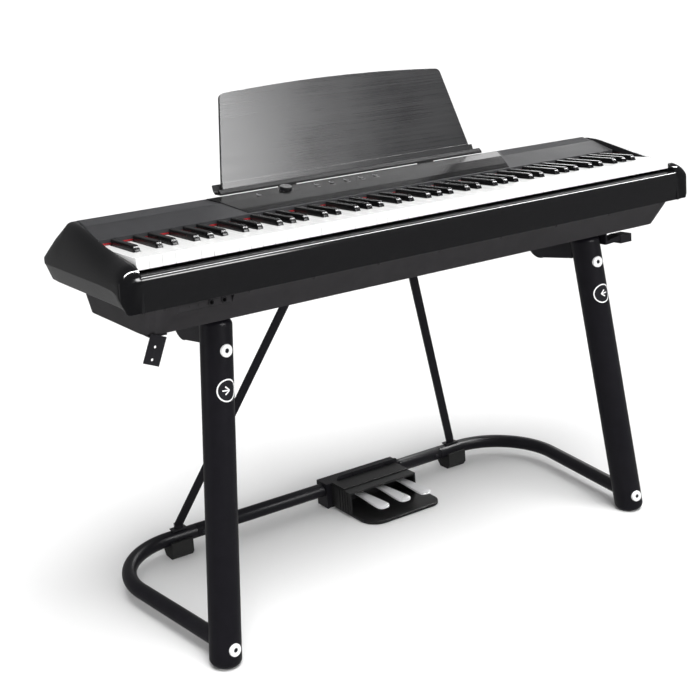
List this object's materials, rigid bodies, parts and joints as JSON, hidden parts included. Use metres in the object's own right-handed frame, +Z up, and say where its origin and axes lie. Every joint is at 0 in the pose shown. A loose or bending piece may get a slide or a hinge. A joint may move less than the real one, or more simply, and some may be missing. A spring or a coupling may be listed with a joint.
{
  "type": "digital piano on stand",
  "caption": "Digital piano with weighted keyboard, music rest and front sockets, bolted to a tube-frame stand with splayed legs, flat braces and a three-pedal unit.",
  "frame": {"origin": "on the floor, at the middle of the whole object's bounding box in plan", "axes": "+X to the player's right along the keyboard, +Y away from the player, +Z up"},
  "size_m": [1.3, 0.506, 0.9827],
  "materials": {
    "upper_case": "gloss black",
    "lower_case": "matte charcoal black",
    "top_panel": "matte dark grey",
    "control_panel": "gloss black",
    "speaker_grille_left": "dark grey speaker cloth",
    "speaker_grille_right": "dark grey speaker cloth",
    "speaker_left": "matte black",
    "speaker_right": "matte black",
    "key_bed": "matte dark grey chassis",
    "key_felt": "red felt",
    "main_board": "green circuit board",
    "jack_plate": "matte black with plated contacts",
    "rear_jack_plate": "matte black",
    "white_keys_bass": "polished white",
    "white_keys_treble": "polished white",
    "black_keys_bass": "satin black",
    "black_keys_treble": "satin black",
    "leg_left": "satin black powder coat",
    "leg_right": "satin black powder coat",
    "base_tube_left": "satin black powder coat",
    "base_tube_centre": "satin black powder coat",
    "base_tube_right": "satin black powder coat",
    "rear_foot_left": "matte black",
    "rear_foot_right": "matte black",
    "brace_left": "satin black powder coat",
    "brace_right": "satin black powder coat",
    "support_arm_left": "satin black powder coat",
    "support_arm_right": "satin black powder coat",
    "bolt_cap_left_upper": "white ring with a dark hexagon",
    "bolt_cap_left_lower": "white ring with a dark hexagon",
    "bolt_cap_right_upper": "white ring with a dark hexagon",
    "bolt_cap_right_lower": "white ring with a dark hexagon",
    "hook_strip": "satin black powder coat",
    "pedal_base": "matte black textured",
    "pedal_housing": "satin black",
    "pedal_clamp": "satin black powder coat",
    "key_c4": "polished white",
    "key_d4": "polished white",
    "key_e4": "polished white",
    "key_f4": "polished white",
    "key_g4": "polished white",
    "key_a4": "polished white",
    "key_b4": "polished white",
    "key_c_sharp4": "satin black",
    "key_d_sharp4": "satin black",
    "key_f_sharp4": "satin black",
    "key_g_sharp4": "satin black",
    "key_a_sharp4": "satin black",
    "power_button": "satin black",
    "volume_knob": "satin black",
    "function_button_1": "satin black",
    "function_button_2": "satin black",
    "function_button_3": "satin black",
    "function_button_4": "satin black",
    "function_button_5": "satin black",
    "pedal_left": "polished",
    "pedal_middle": "polished",
    "pedal_right": "polished",
    "music_rest_board": "satin dark grey, brushed along its length",
    "music_rest_ledge": "matte black"
  },
  "bodies": {
    "piano": {"upper_case": "upper_case", "lower_case": "lower_case", "top_panel": "top_panel", "control_panel": "control_panel", "speaker_grille_left": "speaker_grille_left", "speaker_grille_right": "speaker_grille_right", "speaker_left": "speaker_left", "speaker_right": "speaker_right", "key_bed": "key_bed", "key_felt": "key_felt", "main_board": "main_board", "jack_plate": "jack_plate", "rear_jack_plate": "rear_jack_plate", "white_keys_bass": "white_keys_bass", "white_keys_treble": "white_keys_treble", "black_keys_bass": "black_keys_bass", "black_keys_treble": "black_keys_treble", "leg_left": "leg_left", "leg_right": "leg_right", "base_tube_left": "base_tube_left", "base_tube_centre": "base_tube_centre", "base_tube_right": "base_tube_right", "rear_foot_left": "rear_foot_left", "rear_foot_right": "rear_foot_right", "brace_left": "brace_left", "brace_right": "brace_right", "support_arm_left": "support_arm_left", "support_arm_right": "support_arm_right", "bolt_cap_left_upper": "bolt_cap_left_upper", "bolt_cap_left_lower": "bolt_cap_left_lower", "bolt_cap_right_upper": "bolt_cap_right_upper", "bolt_cap_right_lower": "bolt_cap_right_lower", "hook_strip": "hook_strip", "pedal_base": "pedal_base", "pedal_housing": "pedal_housing", "pedal_clamp": "pedal_clamp"},
    "key_c4": {"key_c4": "key_c4"},
    "key_d4": {"key_d4": "key_d4"},
    "key_e4": {"key_e4": "key_e4"},
    "key_f4": {"key_f4": "key_f4"},
    "key_g4": {"key_g4": "key_g4"},
    "key_a4": {"key_a4": "key_a4"},
    "key_b4": {"key_b4": "key_b4"},
    "key_c_sharp4": {"key_c_sharp4": "key_c_sharp4"},
    "key_d_sharp4": {"key_d_sharp4": "key_d_sharp4"},
    "key_f_sharp4": {"key_f_sharp4": "key_f_sharp4"},
    "key_g_sharp4": {"key_g_sharp4": "key_g_sharp4"},
    "key_a_sharp4": {"key_a_sharp4": "key_a_sharp4"},
    "power_button": {"power_button": "power_button"},
    "volume_knob": {"volume_knob": "volume_knob"},
    "function_button_1": {"function_button_1": "function_button_1"},
    "function_button_2": {"function_button_2": "function_button_2"},
    "function_button_3": {"function_button_3": "function_button_3"},
    "function_button_4": {"function_button_4": "function_button_4"},
    "function_button_5": {"function_button_5": "function_button_5"},
    "pedal_left": {"pedal_left": "pedal_left"},
    "pedal_middle": {"pedal_middle": "pedal_middle"},
    "pedal_right": {"pedal_right": "pedal_right"},
    "music_rest": {"music_rest_board": "music_rest_board", "music_rest_ledge": "music_rest_ledge"}
  },
  "joints": [
    {"name": "key_c4_hinge", "type": "hinge", "parent": "piano", "child": "key_c4", "pos_m": [-0.05875, -0.021, 0.738], "axis": [1, 0, 0], "range_deg": [0, 2.8], "stiffness_Nm_per_rad": 2.4, "springref_deg": -2.29},
    {"name": "key_d4_hinge", "type": "hinge", "parent": "piano", "child": "key_d4", "pos_m": [-0.03525, -0.021, 0.738], "axis": [1, 0, 0], "range_deg": [0, 2.8], "stiffness_Nm_per_rad": 2.4, "springref_deg": -2.29},
    {"name": "key_e4_hinge", "type": "hinge", "parent": "piano", "child": "key_e4", "pos_m": [-0.01175, -0.021, 0.738], "axis": [1, 0, 0], "range_deg": [0, 2.8], "stiffness_Nm_per_rad": 2.4, "springref_deg": -2.29},
    {"name": "key_f4_hinge", "type": "hinge", "parent": "piano", "child": "key_f4", "pos_m": [0.01175, -0.021, 0.738], "axis": [1, 0, 0], "range_deg": [0, 2.8], "stiffness_Nm_per_rad": 2.4, "springref_deg": -2.29},
    {"name": "key_g4_hinge", "type": "hinge", "parent": "piano", "child": "key_g4", "pos_m": [0.03525, -0.021, 0.738], "axis": [1, 0, 0], "range_deg": [0, 2.8], "stiffness_Nm_per_rad": 2.4, "springref_deg": -2.29},
    {"name": "key_a4_hinge", "type": "hinge", "parent": "piano", "child": "key_a4", "pos_m": [0.05875, -0.021, 0.738], "axis": [1, 0, 0], "range_deg": [0, 2.8], "stiffness_Nm_per_rad": 2.4, "springref_deg": -2.29},
    {"name": "key_b4_hinge", "type": "hinge", "parent": "piano", "child": "key_b4", "pos_m": [0.08225, -0.021, 0.738], "axis": [1, 0, 0], "range_deg": [0, 2.8], "stiffness_Nm_per_rad": 2.4, "springref_deg": -2.29},
    {"name": "key_c_sharp4_hinge", "type": "hinge", "parent": "piano", "child": "key_c_sharp4", "pos_m": [-0.04935, -0.021, 0.738], "axis": [1, 0, 0], "range_deg": [0, 2.8], "stiffness_Nm_per_rad": 1.6, "springref_deg": -2.29},
    {"name": "key_d_sharp4_hinge", "type": "hinge", "parent": "piano", "child": "key_d_sharp4", "pos_m": [-0.02115, -0.021, 0.738], "axis": [1, 0, 0], "range_deg": [0, 2.8], "stiffness_Nm_per_rad": 1.6, "springref_deg": -2.29},
    {"name": "key_f_sharp4_hinge", "type": "hinge", "parent": "piano", "child": "key_f_sharp4", "pos_m": [0.02014, -0.021, 0.738], "axis": [1, 0, 0], "range_deg": [0, 2.8], "stiffness_Nm_per_rad": 1.6, "springref_deg": -2.29},
    {"name": "key_g_sharp4_hinge", "type": "hinge", "parent": "piano", "child": "key_g_sharp4", "pos_m": [0.047, -0.021, 0.738], "axis": [1, 0, 0], "range_deg": [0, 2.8], "stiffness_Nm_per_rad": 1.6, "springref_deg": -2.29},
    {"name": "key_a_sharp4_hinge", "type": "hinge", "parent": "piano", "child": "key_a_sharp4", "pos_m": [0.07386, -0.021, 0.738], "axis": [1, 0, 0], "range_deg": [0, 2.8], "stiffness_Nm_per_rad": 1.6, "springref_deg": -2.29},
    {"name": "power_button_press", "type": "slide", "parent": "piano", "child": "power_button", "axis": [0, 0.2095, -0.9778], "range_m": [0, 0.001], "stiffness_N_per_m": 400, "springref_m": -0.001},
    {"name": "volume_knob_turn", "type": "hinge", "parent": "piano", "child": "volume_knob", "pos_m": [-0.192, -0.017, 0.78371], "axis": [0, -0.2095, 0.9778], "range_deg": [-150, 150]},
    {"name": "function_button_1_press", "type": "slide", "parent": "piano", "child": "function_button_1", "axis": [0, 0.2095, -0.9778], "range_m": [0, 0.001], "stiffness_N_per_m": 400, "springref_m": -0.001},
    {"name": "function_button_2_press", "type": "slide", "parent": "piano", "child": "function_button_2", "axis": [0, 0.2095, -0.9778], "range_m": [0, 0.001], "stiffness_N_per_m": 400, "springref_m": -0.001},
    {"name": "function_button_3_press", "type": "slide", "parent": "piano", "child": "function_button_3", "axis": [0, 0.2095, -0.9778], "range_m": [0, 0.001], "stiffness_N_per_m": 400, "springref_m": -0.001},
    {"name": "function_button_4_press", "type": "slide", "parent": "piano", "child": "function_button_4", "axis": [0, 0.2095, -0.9778], "range_m": [0, 0.001], "stiffness_N_per_m": 400, "springref_m": -0.001},
    {"name": "function_button_5_press", "type": "slide", "parent": "piano", "child": "function_button_5", "axis": [0, 0.2095, -0.9778], "range_m": [0, 0.001], "stiffness_N_per_m": 400, "springref_m": -0.001},
    {"name": "pedal_left_hinge", "type": "hinge", "parent": "piano", "child": "pedal_left", "pos_m": [0.049, 0.197, 0.0415], "axis": [1, 0, 0], "range_deg": [0, 7], "stiffness_Nm_per_rad": 12, "springref_deg": -6.88},
    {"name": "pedal_middle_hinge", "type": "hinge", "parent": "piano", "child": "pedal_middle", "pos_m": [0.107, 0.197, 0.0415], "axis": [1, 0, 0], "range_deg": [0, 7], "stiffness_Nm_per_rad": 12, "springref_deg": -6.88},
    {"name": "pedal_right_hinge", "type": "hinge", "parent": "piano", "child": "pedal_right", "pos_m": [0.165, 0.197, 0.0415], "axis": [1, 0, 0], "range_deg": [0, 7], "stiffness_Nm_per_rad": 12, "springref_deg": -6.88},
    {"name": "music_rest_lift", "type": "slide", "parent": "piano", "child": "music_rest", "axis": [0, 0, 1], "range_m": [0, 0.06]}
  ]
}
